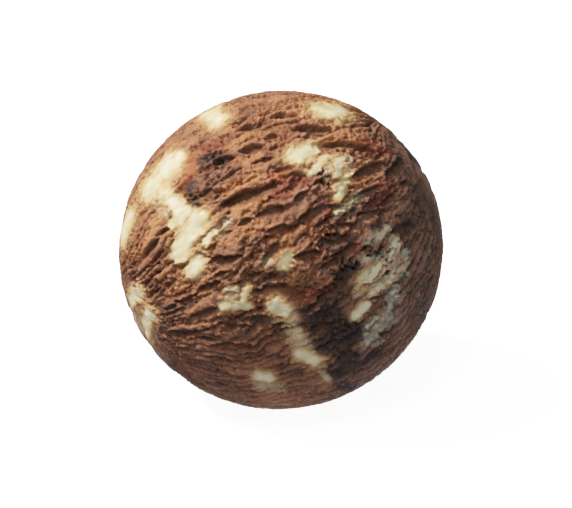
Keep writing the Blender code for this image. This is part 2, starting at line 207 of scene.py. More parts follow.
# Cream smeared thin, tan rather than white
THIN_CREAM = (
    ((0.4, -10.8), (3.6, -15.8), 1.9),
    ((3.4, -16.2), (4.8, -18.4), 2.0),
    ((6.4, -20.4), (8.0, -22.4), 0.8),
    ((-3.6, -22.8), (-0.8, -23.8), 1.8),
    ((-8.8, -8.2), (-6.8, -8.0), 1.1),
    ((-25.8, -8.6), (-24.6, -12.6), 1.5),
    ((-25.4, -6.4), (-24.4, -6.2), 1.0),
    ((-19.6, 6.4), (-21.4, 8.6), 1.4),
    ((-10.6, 2.6), (-9.0, 4.8), 1.0),
    ((-13.6, -1.4), (-13.2, 0.6), 0.7),
    ((10.4, 13.8), (11.6, 15.8), 1.1),
    ((7.4, 11.6), (8.6, 14.0), 1.0),
    ((11.6, 7.6), (13.4, 9.6), 0.9),
    ((9.6, 6.2), (11.8, 7.4), 0.9),
    ((14.8, 1.8), (18.0, 3.2), 1.2),
    ((13.8, -1.6), (16.4, -1.8), 1.1),
    ((17.6, -1.6), (18.4, -4.6), 1.4),
    ((20.6, -4.2), (21.2, -0.8), 1.1),
    ((13.6, -7.4), (18.4, -5.8), 1.3),
    ((15.4, -15.2), (17.8, -11.8), 1.9),
    ((14.6, -13.4), (17.6, -10.8), 1.1),
    ((18.4, -11.0), (19.6, -6.8), 1.7),
    ((-3.2, -2.2), (-1.6, -1.8), 0.8),
)
DARK = (
    ((-15.6, 11.0), (-14.9, 7.6), 1.2),
    ((-13.2, 15.4), (-10.8, 15.8), 1.6),
    ((4.6, -11.4), (8.6, -11.0), 2.0),
    ((5.6, -13.4), (9.2, -12.8), 1.5),
    ((7.0, -16.0), (13.6, -13.8), 2.2),
    ((10.0, -21.0), (11.6, -18.4), 2.0),
    ((10.2, -23.0), (12.8, -24.2), 1.2),
    ((15.0, -18.8), (16.6, -18.0), 1.2),
    ((20.8, 18.0), (22.4, 15.6), 1.4),
    ((19.2, 3.2), (21.8, 4.6), 1.2),
    ((10.4, -4.4), (12.6, -2.4), 1.2),
    ((15.2, -1.6), (17.0, -0.2), 0.8),
    ((9.2, -0.6), (12.0, 0.7), 0.7),
    ((18.2, 13.2), (20.2, 15.6), 0.8),
)
CHERRY = (
    ((-13.2, 17.8), (-10.6, 18.2), 0.8),
    ((-1.0, 10.4), (2.6, 12.0), 1.4),
    ((-1.4, 8.6), (1.0, 9.4), 0.9),
    ((14.6, 17.0), (18.8, 16.6), 1.1),
    ((12.4, 0.0), (15.4, 1.8), 1.0),
    ((2.2, -8.4), (7.6, -7.0), 1.1),
    ((3.6, -11.0), (4.4, -13.6), 0.8),
    ((7.2, 5.2), (8.8, 7.2), 0.9),
    ((4.0, 11.6), (7.4, 13.6), 0.8),
    ((16.4, 8.0), (18.8, 11.0), 1.0),
)
# Orange-red chocolate beside the cherry
RUST = (
    ((-15.8, 13.6), (-14.0, 16.8), 1.4),
    ((-16.8, 8.6), (-16.5, 12.2), 1.1),
    ((13.0, 18.2), (16.0, 18.2), 0.8),
    ((-1.4, 12.2), (0.8, 12.6), 0.8),
    ((16.0, 10.4), (17.4, 11.6), 0.6),
)
TAN = (
    ((-10.0, 10.0), (-3.8, 12.6), 1.0),
    ((-7.6, 6.2), (-1.5, 8.9), 1.3),
    ((-7.0, 19.6), (-3.4, 20.4), 1.1),
    ((-9.4, 17.6), (-7.0, 18.6), 1.0),
    ((-6.4, 15.2), (-4.4, 16.4), 0.9),
    ((7.0, 18.7), (11.0, 19.8), 1.0),
    ((-12.2, 0.6), (-11.0, 3.4), 1.1),
    ((-8.2, 1.6), (-3.0, 4.4), 1.0),
    ((0.4, 1.4), (5.0, 4.0), 0.9),
    ((-24.0, 0.0), (-20.6, 5.6), 1.5),
    ((11.4, 9.2), (14.4, 12.4), 1.0),
    ((-20.0, -6.4), (-14.4, -4.6), 1.2),
    ((5.6, -21.0), (7.8, -23.0), 1.6),
    ((1.6, -12.0), (3.6, -15.4), 1.8),
)
# Pinkish cocoa between the cream streaks
PINK = (
    ((3.0, 8.6), (8.6, 12.6), 1.6),
    ((6.0, 5.8), (9.6, 9.0), 1.3),
    ((12.2, 3.2), (15.8, 7.2), 1.5),
    ((6.4, 12.4), (8.2, 14.2), 1.2),
    ((-14.0, 11.6), (-10.2, 13.4), 1.2),
    ((12.0, -1.6), (14.2, 2.6), 1.3),
    ((14.8, 9.0), (17.6, 12.2), 1.3),
    ((14.6, -9.6), (17.4, -8.4), 0.9),
)
# Each kind of streak: its name, those shown, how many are hidden, their half widths and their seed
MARBLING = (
    ("cream", CREAM, 26, (1.0, 2.3), 5),
    ("thin_cream", THIN_CREAM, 14, (0.8, 1.6), 6),
    ("dark", DARK, 12, (0.8, 1.8), 7),
    ("cherry", CHERRY, 12, (0.7, 1.3), 8),
    ("rust", RUST, 8, (0.8, 1.3), 12),
    ("tan", TAN, 12, (0.8, 1.2), 9),
    ("pink", PINK, 8, (1.0, 1.5), 10),
)

# Where the gelato is porous, with small pits that are also painted dark as shade
POROUS = (
    ((15.0, -0.4), (18.4, -1.0), 1.4),
    ((10.8, -2.2), (12.8, -3.4), 1.3),
    ((17.6, -3.5), (18.3, -4.1), 0.9),
    ((7.4, 12.8), (8.8, 10.2), 1.0),
    ((-12.4, 16.4), (-10.8, 14.8), 0.9),
)

# Paler and darker chocolate, partly its own patches and partly painted light and shade, such as the darker
# right edge and the paler bottom: the middle, the radius and how much paler, or darker below 0
TONES_AND_PAINTED_LIGHT = (
    ((0.0, 23.0), 9.0, 0.65),
    ((-14.0, 19.0), 7.0, 0.25),
    ((-24.0, 8.0), 7.0, 0.30),
    ((-6.0, 12.0), 8.0, 0.25),
    ((12.0, 18.0), 7.0, 0.35),
    ((-10.0, -10.0), 7.0, 0.15),
    ((14.0, 4.0), 8.0, -0.40),
    ((8.0, -13.0), 6.5, -0.95),
    ((9.0, -3.0), 4.0, -0.50),
    ((12.0, -20.0), 5.0, -0.70),
    ((25.0, 0.0), 9.0, -1.00),
    ((-2.0, -25.0), 9.0, 0.60),
    ((20.0, -17.0), 5.0, 0.50),
)

# Colours as linear light
COCOA = (0.048, 0.0245, 0.0115)
MILK_CHOCOLATE = (0.160, 0.062, 0.029)
PALE_CHOCOLATE = (0.31, 0.119, 0.055)
GOLDEN = (0.33, 0.135, 0.036)
RUSSET = (0.21, 0.052, 0.020)
MAUVE = (0.225, 0.105, 0.070)
OCHRE = (0.40, 0.158, 0.060)
# Painted shade: the greyer, cooler chocolate of the shaded right side
PAINTED_SHADE_GREY = (0.118, 0.074, 0.053)
CARAMEL = (0.44, 0.198, 0.082)
CREAM_WHITE = (0.67, 0.585, 0.38)
CREAM_YELLOW = (0.62, 0.485, 0.23)
CREAM_GOLD = (0.63, 0.445, 0.17)
# Painted shade: the greyer cream of the shaded right side
CREAM_PAINTED_SHADE_GREY = (0.54, 0.53, 0.43)
# Painted shade: the darker colour of the cream in its hollows
CREAM_PAINTED_SHADE = (0.38, 0.26, 0.12)
# Painted light: the paler colour laid on the crests as if they catch the light
CREST_PAINTED_LIGHT = (0.50, 0.218, 0.110)
# Painted shade: the dark colour laid into the furrows where their lips shade them
FURROW_PAINTED_SHADE = (0.095, 0.046, 0.021)
# Painted shade: the tint that darkens every hollow of the surface
HOLLOW_PAINTED_SHADE_TINT = (0.50, 0.39, 0.30)
CHERRY_RED = (0.150, 0.034, 0.016)
CHERRY_ORANGE = (0.30, 0.080, 0.028)
# The dark cherry colour, also painted into the pits as their shade
DARK_CHERRY_AND_PIT_SHADE = (0.030, 0.013, 0.009)
TABLE_WHITE = (0.88, 0.88, 0.88)

# Surface of the gelato
ROUGHNESS = 0.60
WET_SMOOTHNESS = 0.30
SPECULAR_LEVEL = 0.30
SUBSURFACE_SHARE = 0.12
SUBSURFACE_REACH = (1.0, 0.55, 0.30)
SUBSURFACE_SCALE = 0.8 * MM
BUMP_HEIGHT = 0.33 * MM

# Camera and light
IMAGE_WIDTH = 572
IMAGE_MIDDLE = (286.0, 254.0)
BALL_PIXEL = (281.1, 249.9)
PIXELS_PER_METRE = 5753
CAMERA_DISTANCE = 0.7
SENSOR_WIDTH = 36
KEY_DIRECTION = (-0.60, 0.72, 0.30)
KEY_DISTANCE = 0.6
KEY_SIZE = 0.20
KEY_POWER = 9.0
KEY_COLOUR = (1.0, 0.94, 0.87)
FRONT_DIRECTION = (-0.10, 0.50, 0.86)
FRONT_DISTANCE = 0.8
FRONT_SIZE = 0.30
FRONT_POWER = 3.0
FRONT_COLOUR = (0.97, 1.0, 0.97)
ROOM_COLOUR = (0.94, 1.0, 1.10)
ROOM_STRENGTH = 0.32
BOUNCE_STRENGTH = 0.78
BRIGHTEST = 3.0
TONE_CURVE = ((0.05, 0.05), (0.2, 0.21), (0.4, 0.39), (0.7, 0.57), (1.2, 0.75), (1.9, 0.88))
FLOOR_SIZE = 4
FLOOR_GLOW = 2.4


def direction(turn, lean):
    """A unit direction in the seen axes, from degrees of turn and of lean towards the viewer."""
    turn = math.radians(turn)
    lean = math.radians(lean)
    return np.array((math.cos(lean) * math.cos(turn), math.cos(lean) * math.sin(turn), math.sin(lean)))


def gradient_noise(points, seed):
    """Smooth noise between about -1 and 1 with cells one unit wide."""
    rng = np.random.default_rng(seed)
    order = np.tile(rng.permutation(256), 3)
    gradients = rng.normal(size=(256, 3))
    gradients /= np.linalg.norm(gradients, axis=1)[:, None]
    gradients = gradients.astype(np.float32)
    cell = np.floor(points).astype(np.int64)
    local = (points - cell).astype(np.float32)
    fade = local ** 3 * (local * (local * 6 - 15) + 10)
    cell &= 255
    total = np.zeros(len(points))
    for corner in itertools.product((0, 1), repeat=3):
        key = order[cell[:, 0] + corner[0]] + cell[:, 1] + corner[1]
        key = order[order[key] + cell[:, 2] + corner[2]]
        weight = np.prod(np.where(np.array(corner) == 1, fade, 1 - fade), axis=1)
        offset = local - np.array(corner, np.float32)
        total += weight * np.einsum("ij,ij->i", gradients[key], offset)
    return total * 1.5


def smooth_step(low, high, value):
    part = np.clip((value - low) / (high - low), 0, 1)
    return part * part * (3 - 2 * part)


def curl_line():
    """The middle of the line between the curl ends, its direction and half its length."""
    end_a = direction(*CURL_ENDS[0])
    end_b = direction(*CURL_ENDS[1])
    half = np.linalg.norm(end_a - end_b) / 2
    return (end_a + end_b) / 2, (end_a - end_b) / (2 * half), half


def flow(directions):
    """The turn about the line between the curl ends and the way along it, both in radians."""
    middle, chord, half = curl_line()
    side = np.cross(chord, (0.0, 0.0, 1.0))
    side /= np.linalg.norm(side)
    other = np.cross(chord, side)
    offset = directions - middle
    turn = np.arctan2(offset @ other, offset @ side)
    along = np.arcsin(np.clip(offset @ chord / half, -1, 1))
    return turn, along


def flow_cells(turn, along, count, run):
    """Noise places with the given number of cells round the flow and along it."""
    radius = count / (2 * math.pi)
    return np.stack((radius * np.cos(turn), radius * np.sin(turn), along / math.pi * run), axis=1)


def wave_phase(turn, along, points, count, spread, seed, shake):
    """The phase of several wave trains that fade in and out, so that their ridges fork and end."""
    rng = np.random.default_rng(seed)
    total = np.zeros(len(turn), complex)
    for train in range(5):
        waves = round(count * (1 + spread * (train - 2) / 2))
        slant = rng.uniform(-7, 7)
        start = rng.uniform(0, 2 * math.pi)
        cells = flow_cells(turn, along, 24, 7) + 17.3 * train
        strength = np.maximum(0.05, 0.5 + 1.5 * gradient_noise(cells, seed + train))
        push = 3.4 * gradient_noise(points / (6 * MM) + 5.1 * train, seed + 10 + train)
        total += strength * np.exp(1j * (waves * turn + slant * along + push + shake + start))
    return np.angle(total) / (2 * math.pi) + 0.5


def on_shown_side(place):
    """The place on the ball that is seen at these mm right of the middle and above it."""
    x = place[0] * MM
    y = place[1] * MM
    inside = min(1, 0.995 * SHORT_RADIUS / math.hypot(x, y))
    x *= inside
    y *= inside
    return np.array((x, y, math.sqrt(SHORT_RADIUS ** 2 - x * x - y * y)))


def stroke_distance(points, start, end, depth_share=1.0):
    """The distance of points from a straight stroke, and the part of the stroke beside them."""
    line = end - start
    part = np.clip((points - start) @ line / (line @ line), 0, 1)
    offset = points - start - part[:, None] * line
    offset[:, 2] *= depth_share
    return np.linalg.norm(offset, axis=1), part


def shown_strokes(streaks):
    return [(on_shown_side(start), on_shown_side(end), width * MM) for start, end, width in streaks]


def hidden_strokes(count, widths, seed):
    """Streaks along the flow on the side that isn't shown."""
    rng = np.random.default_rng(seed)
    middle, chord, _ = curl_line()
    strokes = []
    while len(strokes) < count:
        place = rng.normal(size=3)
        place /= np.linalg.norm(place)
        if place[2] > -0.02:
            continue
        normal = np.cross(chord, place - middle)
        run = np.cross(normal / np.linalg.norm(normal), place)
        run += 0.35 * rng.normal(size=3)
        half = rng.uniform(0.5, 3.0) * MM * run / np.linalg.norm(run)
        width = rng.uniform(*widths) * MM
        centre = place * SHORT_RADIUS
        strokes.append((centre - half, centre + half, width))
    return strokes


def streak_field(points, strokes):
    """1 in the middle of a streak, 0 at its edge and less outside."""
    field = np.full(len(points), -3.0)
    for start, end, width in strokes:
        distance, _ = stroke_distance(points, start, end, STREAK_DEPTH_SHARE)
        field = np.maximum(field, 1 - distance / width)
    return field


def smeared(points, seed, reach):
    """Points pushed about, so that what is placed by them gets an uneven edge."""
    pushes = []
    for axis in range(3):
        wide = gradient_noise(points / (2.8 * MM), seed + axis)
        narrow = gradient_noise(points / (1.2 * MM), seed + 5 + axis)
        pushes.append(wide + 0.5 * narrow)
    return points + reach * np.stack(pushes, axis=1)


def all_furrows():
    """The furrows of the shown side and more like them, along the flow, on the other side."""
    found = []
    for start, end, width, depth in FURROWS:
        found.append((on_shown_side(start), on_shown_side(end), width * MM, depth * MM))
    for start, end, width in hidden_strokes(HIDDEN_FURROWS, (0.35, 0.9), 11):
        if np.cross(start, end - start)[1] < 0:
            start, end = end, start
        found.append((start, end, width, 1.2 * width + 0.5 * MM))
    return found


def furrows(points):
    """How deep the torn furrows are, and how near the lip above them is, from 0 to 1."""
    bend = 0.45 * MM * gradient_noise(points / (2.2 * MM), 71)
    bend += 0.22 * MM * gradient_noise(points / (0.9 * MM), 72)
    depth = np.zeros(len(points))
    lip = np.zeros(len(points))
    for start, end, half_width, deepest in all_furrows():
        distance, part = stroke_distance(points, start, end)
        above = (points - start) @ np.cross(start, end - start) > 0
        width = half_width * (0.55 + 0.45 * np.sin(np.pi * part)) * np.where(above, 0.6, 1.5)
        reach = np.maximum(distance + bend, 0) / width
        depth = np.maximum(depth, deepest * np.exp(-reach ** 3))
        near = np.exp(-((reach - 1.9) / 0.8) ** 2) * np.exp(-((distance + bend) / (2.2 * MM)) ** 4)
        lip = np.maximum(lip, above * near)
    return depth, lip


def end_share(along):
    """1 at the curl ends and 0 away from them."""
    return smooth_step(0.52, 0.14, np.cos(along))


def flow_place(directions):
    """The turn and the way along the flow, bent by noise and twisted near the curl ends."""
    points = directions * SHORT_RADIUS
    turn, along = flow(directions)
    end = end_share(along)
    turn = turn + (0.05 + 0.30 * end) * gradient_noise(points / (10 * MM), 1)
    turn = turn + (0.022 + 0.20 * end) * gradient_noise(points / (3.2 * MM), 2)
    along = along + 0.06 * gradient_noise(points / (6 * MM), 3)
    return turn + END_TWIST * end, along


def end_lumps(points):
    """Rough lumps at the curl ends, where the ridges run together."""
    lumps = np.abs(gradient_noise(points / (3.6 * MM), 91))
    lumps += 0.6 * np.abs(gradient_noise(points / (1.8 * MM), 92))
    return END_LUMP_HEIGHT * (lumps - 0.6)


def chunks(places, seed):
    """The middle of the chunk that each place is in, its own number and how far off its edge is."""
    rng = np.random.default_rng(seed)
    order = np.tile(rng.permutation(256), 2)
    numbers = rng.uniform(size=(256, 4))
    cell = np.floor(places).astype(np.int64)
    nearest = np.full(len(places), 9.0)
    second = nearest.copy()
    middle = np.zeros(places.shape)
    own = np.zeros(len(places))
    for step in itertools.product((-1, 0, 1), repeat=3):
        spot = cell + np.array(step)
        key = order[(order[(order[spot[:, 0] & 255] + spot[:, 1]) & 255] + spot[:, 2]) & 255]
        there = spot + numbers[key, :3]
        distance = np.linalg.norm(places - there, axis=1)
        closer = distance < nearest
        second = np.where(closer, nearest, np.minimum(second, distance))
        nearest = np.where(closer, distance, nearest)
        middle[closer] = there[closer]
        own[closer] = numbers[key[closer], 3]
    return middle, own, second - nearest


def chunk_height(points, turn, along):
    """Chunks whose lower edges stand out over the next ones, crumbled at the edges."""
    places = flow_cells(turn, along, CHUNKS_ROUND, CHUNKS_ALONG)
    for axis in range(3):
        places[:, axis] += 0.16 * gradient_noise(points / (1.4 * MM), 131 + axis)
        places[:, axis] += 0.13 * gradient_noise(points / (0.7 * MM), 134 + axis)
    middle, own, edge = chunks(places, 51)
    down = middle[:, 0] * places[:, 1] - middle[:, 1] * places[:, 0]
    down /= np.hypot(middle[:, 0], middle[:, 1])
    groove = np.minimum(edge / 0.35, 1) ** 0.5 - 1
    return CHUNK_STEP * (2 * own - 1) + CHUNK_TILT * down + CHUNK_GROOVE * groove - CHUNK_DROP


def ridge_height(points, turn, along):
    """The ridges, lumps and furrows of the CAD model with crumbled edges, and the furrows' depth."""
    shake = 0.9 * gradient_noise(points / (1.3 * MM), 117)
    shake += 0.6 * gradient_noise(points / (0.7 * MM), 118)
    phase = wave_phase(turn, along, points, RIDGES_ROUND, 0.32, 40, shake)
    ridges = np.sin(np.pi * phase ** 0.8) ** 0.6
    lump = gradient_noise(flow_cells(turn, along, 62, 22), 21)
    deep = smooth_step(-0.4, 0.5, gradient_noise(flow_cells(turn, along, 24, 8), 22))
    swell = gradient_noise(flow_cells(turn, along, 30, 8), 23)
    height = (RIDGE_DEPTH + DEEP_RIDGE_DEPTH * deep) * (ridges - 1) * (0.85 + 0.5 * lump)
    height += SWELL_HEIGHT * swell + LUMP_HEIGHT * lump + chunk_height(points, turn, along)
    depth, lip = furrows(points)
    height *= 1 - 0.40 * fineness(points)
    return height * (1 - 0.7 * np.minimum(depth / MM, 1)) + LIP_HEIGHT * lip - depth, depth


def fineness(points):
    """Where the ridges are low and fine: the lower part of the shown side and its right edge."""
    low = smooth_step(-4 * MM, -16 * MM, points[:, 1])
    right = smooth_step(15 * MM, 22 * MM, points[:, 0])
    return np.maximum(low, right)


def calmness(directions, along):
    """Lower ridges at the curl ends and at the outline of the shown side."""
    return (1 - 0.9 * end_share(along)) * (1 - 0.40 * smooth_step(0.24, 0.04, np.abs(directions[:, 2])))


def grain_height(points, turn, along):
    """Fine ridges, crumbs and grains, rough in some places and calm in others."""
    rough = smooth_step(-0.55, 0.25, gradient_noise(points / (5 * MM), 26))
    shake = 0.8 * gradient_noise(points / (0.9 * MM), 119)
    fine_phase = wave_phase(turn, along, points, 128, 0.4, 60, shake)
    fine = np.sin(np.pi * fine_phase ** 1.2) ** 0.7
    crumbs = 1.3 * np.abs(gradient_noise(points / (1.4 * MM), 28)) - 0.3
    grains = np.abs(gradient_noise(points / (0.85 * MM), 24)) - 0.25
    specks = np.abs(gradient_noise(points / (0.45 * MM), 25)) - 0.25
    pits = smooth_step(0.25, 0.55, gradient_noise(points / (0.95 * MM), 29))
    low = fineness(points)
    height = (0.12 + 0.16 * rough + 0.40 * low) * (fine - 1)
    height += (0.20 + 0.38 * rough) * (1 - 0.4 * low) * crumbs
    height += (0.20 + 0.45 * rough) * (1 - 0.4 * low) * grains + (0.15 + 0.45 * rough) * specks
    return MM * (height - 0.35 * rough * pits)


def press(height):
    """Crests pressed against the bowl of the scoop, so that they end at the round outline."""
    over = height - CREST_LEVEL
    excess = np.maximum(over, -CREST_SOFTNESS) + CREST_SOFTNESS
    pressed = -CREST_SOFTNESS * np.exp(-excess / CREST_SOFTNESS)
    return np.where(over > -CREST_SOFTNESS, pressed, over)


def ball_radius(directions):
    share = (directions @ direction(LONG_TURN, 0)) ** 2
    return 1 / np.sqrt(share / LONG_RADIUS ** 2 + (1 - share) / SHORT_RADIUS ** 2)


def across_flow(directions):
    """Unit directions across the flow, downwards as seen on the shown side."""
    across = np.cross(curl_line()[1], directions)
    return across / (np.linalg.norm(across, axis=1)[:, None] + 1e-9)


def marbling(points):
    """How far inside the streaks of each kind the points are."""
    pushed = smeared(points, PUSH_SEED, PUSH)
    facts = {}
    for name, shown, *hidden in MARBLING:
        facts[name] = streak_field(pushed, shown_strokes(shown) + hidden_strokes(*hidden))
    return facts


def porous_pits(points):
    """1 in the pits of the porous places."""
    field = streak_field(smeared(points, PUSH_SEED, PUSH), shown_strokes(POROUS))
    porous = smooth_step(-0.4, 0.3, field)
    return porous * smooth_step(0.0, 0.25, gradient_noise(points / (0.80 * MM), 93))


def torn_surface(directions):
    """Places on the torn ball about its middle, and what its material needs to know at them."""
    points = directions * SHORT_RADIUS
    turn, along = flow_place(directions)
    facts = marbling(points)
    smooth = smooth_step(-0.5, 0.3, facts["cream"]) * smooth_step(13 * MM, 10 * MM, points[:, 0])
    calm = calmness(directions, along)
    height, furrow = ridge_height(points, turn, along)
    height *= 1 - 0.70 * smooth
    grain = grain_height(points, turn, along) * (1 - 0.75 * np.minimum(furrow / MM, 1))
    height += grain * (1 - 0.95 * smooth)
    height += MELTED_HEIGHT * smooth * (gradient_noise(points / (2.6 * MM), 61) - 0.3)
    pits = porous_pits(points)
    height = press(height * calm + end_lumps(points) * end_share(along)) - PIT_DEPTH * pits
    places = directions * (ball_radius(directions) + height)[:, None]
    slip = RIDGE_LEAN * (height - height.mean()) * calm
    places -= across_flow(directions) * slip[:, None]
    facts["height"] = height / MM
    facts["pit"] = pits
    # The furrows' depth, also used to paint shade into them
    facts["furrow"] = furrow / MM
    facts["tone"] = 0.5 * gradient_noise(flow_cells(turn, along, 90, 14), 201)
    facts["tone"] += 0.5 * gradient_noise(flow_cells(turn, along, 36, 9), 202)
    facts["tone"] += 0.4 * gradient_noise(points / (9 * MM), 203)
    # The listed tones are partly the chocolate's own and partly painted light and shade: a darker right edge
    # and a paler bottom
    for place, radius, amount in TONES_AND_PAINTED_LIGHT:
        away = np.linalg.norm(points - on_shown_side(place), axis=1) / (radius * MM)
        facts["tone"] += amount * np.exp(-away ** 2)
    # Painted shade: greyer, cooler colour towards the right, the side away from the key light
    facts["painted_shade_right"] = smooth_step(6 * MM, 24 * MM, points[:, 0])
    facts["flow_place"] = flow_cells(turn, along, 174, 29)
    return places, facts


def sphere_directions(sphere):
    """Even directions drawn together on the shown side, which gets the finer mesh."""
    directions = np.array([v.co for v in sphere.verts]) @ SEEN_AXES.T
    directions /= np.linalg.norm(directions, axis=1)[:, None]
    directions += np.array((0, 0, SHOWN_SIDE_PULL))
    return directions / np.linalg.norm(directions, axis=1)[:, None]


def thinned(piece, triangles):
    """The piece's mesh thinned out to about this many triangles."""
    thin_out = piece.modifiers.new("thin_out", "DECIMATE")
    thin_out.ratio = triangles / SPHERE_TRIANGLES
    depsgraph = bpy.context.evaluated_depsgraph_get()
    mesh = bpy.data.meshes.new_from_object(piece.evaluated_get(depsgraph))
    piece.modifiers.clear()
    return mesh


def make_scoop():
    sphere = bmesh.new()
    bmesh.ops.create_icosphere(sphere, subdivisions=SPHERE_SUBDIVISIONS, radius=1)
    places, facts = torn_surface(sphere_directions(sphere))
    places = places @ SEEN_AXES
    places[:, 2] = np.maximum(places[:, 2] + MIDDLE_HEIGHT, 0)
    mesh = bpy.data.meshes.new("scoop")
    sphere.to_mesh(mesh)
    sphere.free()
    mesh.vertices.foreach_set("co", places.ravel())
    flow_place = mesh.attributes.new("flow_place", "FLOAT_VECTOR", "POINT")
    flow_place.data.foreach_set("vector", facts.pop("flow_place").ravel())
    for name, values in facts.items():
        mesh.attributes.new(name, "FLOAT", "POINT").data.foreach_set("value", values)
    scoop = bpy.data.objects.new("scoop", mesh)
    bpy.context.collection.objects.link(scoop)
    if KEPT_TRIANGLES < SPHERE_TRIANGLES:
        scoop.data = thinned(scoop, KEPT_TRIANGLES)
    scoop.data.shade_smooth()
    return scoop


class Nodes:
    """A material's node tree, with short calls for what the gelato needs."""

    def __init__(self, material):
        material.use_nodes = True
        self.tree = material.node_tree
        self.shader = self.tree.nodes["Principled BSDF"]

    def add(self, kind, **settings):
        node = self.tree.nodes.new(kind)
        for name, value in settings.items():
            setattr(node, name, value)
        return node

    def put(self, value, socket):
        if isinstance(value, bpy.types.NodeSocket):
            self.tree.links.new(value, socket)
        elif isinstance(value, tuple):
            socket.default_value = (*value, 1)
        else:
            socket.default_value = value

    def fact(self, name):
        return self.add("ShaderNodeAttribute", attribute_name=name).outputs["Fac"]

    def math(self, operation, a, b=0.0):
        node = self.add("ShaderNodeMath", operation=operation)
        self.put(a, node.inputs[0])
        self.put(b, node.inputs[1])
        return node.outputs[0]

    def rise(self, value, low, high, top=1.0):
        """0 below low, smoothly up to top above high."""
        node = self.add("ShaderNodeMapRange", interpolation_type="SMOOTHSTEP")
        self.put(value, node.inputs["Value"])
        node.inputs["From Min"].default_value = low
        node.inputs["From Max"].default_value = high
        node.inputs["To Max"].default_value = top
        return node.outputs["Result"]

    def mix(self, share, under, over, blend="MIX"):
        node = self.add("ShaderNodeMix", data_type="RGBA", blend_type=blend)
        self.put(share, node.inputs[0])
        self.put(under, node.inputs[6])
        self.put(over, node.inputs[7])
        return node.outputs[2]

    def noise(self, size, detail=2.0, roughness=0.5, drawn_out=False):
        """Noise with features about this large, between 0 and 1, drawn out along the flow or not."""
        node = self.add("ShaderNodeTexNoise")
        node.inputs["Detail"].default_value = detail
        node.inputs["Roughness"].default_value = roughness
        if drawn_out:
            place = self.add("ShaderNodeAttribute", attribute_name="flow_place").outputs["Vector"]
            node.inputs["Scale"].default_value = MM / size
        else:
            place = self.add("ShaderNodeTexCoord").outputs["Object"]
            node.inputs["Scale"].default_value = 1 / size
        self.put(place, node.inputs["Vector"])
        return node.outputs[0]

    def grains(self, size):
        """Round grains about this large: 0 in their middle and more between them."""
        node = self.add("ShaderNodeTexVoronoi")
        node.inputs["Scale"].default_value = 1 / size
        self.put(self.add("ShaderNodeTexCoord").outputs["Object"], node.inputs["Vector"])
        return node.outputs["Distance"]


def frayed(nodes, name, amount, size, detail=3):
    """A streak's field with noise added, so that its edge frays along the flow."""
    fray = nodes.math("ADD", nodes.noise(size, detail, 0.6), nodes.noise(1.2 * size, detail, 0.6, True))
    fray = nodes.math("SUBTRACT", fray, 1.0)
    return nodes.math("ADD", nodes.fact(name), nodes.math("MULTIPLY", fray, amount))


def chocolate_colour(nodes):
    speckle = nodes.math("ADD", nodes.noise(0.5 * MM, 3, 0.6), nodes.noise(0.8 * MM, 3, 0.6, True))
    speckle = nodes.math("SUBTRACT", speckle, 1.0)
    tone = nodes.math("ADD", nodes.fact("tone"), nodes.math("MULTIPLY", speckle, 1.7))
    colour = nodes.mix(nodes.rise(tone, -0.7, 0.1), COCOA, MILK_CHOCOLATE)
    colour = nodes.mix(nodes.rise(tone, 0.05, 0.9), colour, PALE_CHOCOLATE)
    colour = nodes.mix(nodes.rise(nodes.noise(1.6 * MM, 3, 0.6, True), 0.53, 0.68, 0.45), colour, GOLDEN)
    colour = nodes.mix(nodes.rise(nodes.noise(2.1 * MM, 3, 0.6, True), 0.54, 0.68, 0.45), colour, RUSSET)
    colour = nodes.mix(nodes.rise(nodes.noise(2.7 * MM, 3, 0.6), 0.56, 0.72, 0.35), colour, MAUVE)
    # Painted shade: the chocolate greys towards the shaded right side
    return nodes.mix(nodes.rise(nodes.fact("painted_shade_right"), 0.0, 1.0, 0.5), colour, PAINTED_SHADE_GREY)


